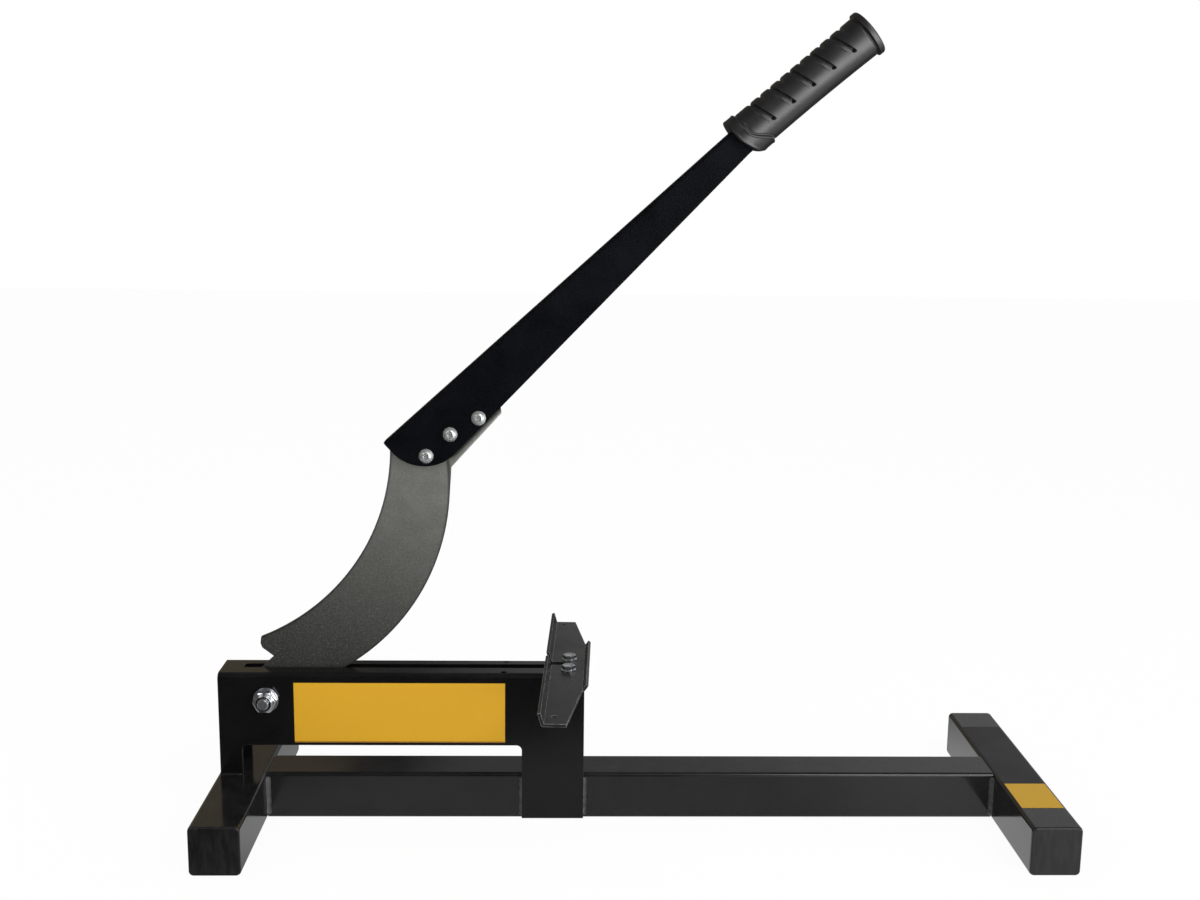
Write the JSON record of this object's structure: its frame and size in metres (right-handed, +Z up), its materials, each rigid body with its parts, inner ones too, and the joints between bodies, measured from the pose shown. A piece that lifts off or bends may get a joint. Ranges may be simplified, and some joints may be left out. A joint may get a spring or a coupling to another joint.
{
  "type": "laminate flooring cutter",
  "caption": "Bench guillotine for laminate flooring: a curved blade on a long lever pivots in a welded steel frame with a bolted fence across it.",
  "frame": {"origin": "middle of the underside of the beam, on the floor, halfway along the base and on the beam's centre line", "axes": "+X along the beam from the pivot end to the plain end, +Y to the rear, +Z up"},
  "size_m": [0.695, 0.265, 0.6637],
  "materials": {
    "black_paint": "satin black powder coat",
    "fence_paint": "satin dark grey powder coat",
    "blade_coat": "fine-grained grey-green coating on steel",
    "zinc": "bright zinc plate",
    "spacer_steel": "plain turned steel",
    "cap_plastic": "matte black polyethylene",
    "grip_rubber": "moulded black rubber",
    "label_yellow": "plain yellow film",
    "label_dark": "dark film with plain colour blocks"
  },
  "bodies": {
    "base": {"left_foot": "black_paint", "right_foot": "black_paint", "base_beam": "black_paint", "left_front_cap": "cap_plastic", "left_rear_cap": "cap_plastic", "right_front_cap": "cap_plastic", "right_rear_cap": "cap_plastic", "base_welds": "black_paint", "cutter_frame": "black_paint", "frame_welds": "black_paint", "front_label": "label_yellow", "foot_label": "label_dark", "pivot_bolt": "zinc", "pivot_nut": "zinc", "pivot_front_washer": "zinc", "pivot_rear_washer": "zinc", "pivot_front_spacer": "spacer_steel", "pivot_rear_spacer": "spacer_steel", "fence": "fence_paint", "fence_bolts": "zinc"},
    "lever": {"blade": "blade_coat", "lever_arm": "black_paint", "lever_screws": "zinc", "lever_nuts": "zinc", "tang_front_spacers": "spacer_steel", "tang_rear_spacers": "spacer_steel", "grip": "grip_rubber"}
  },
  "joints": [
    {"name": "lever_hinge", "type": "hinge", "parent": "base", "child": "lever", "pos_m": [-0.3055, -0.001, 0.106], "axis": [0, 1, 0], "range_deg": [-40, 44]}
  ]
}
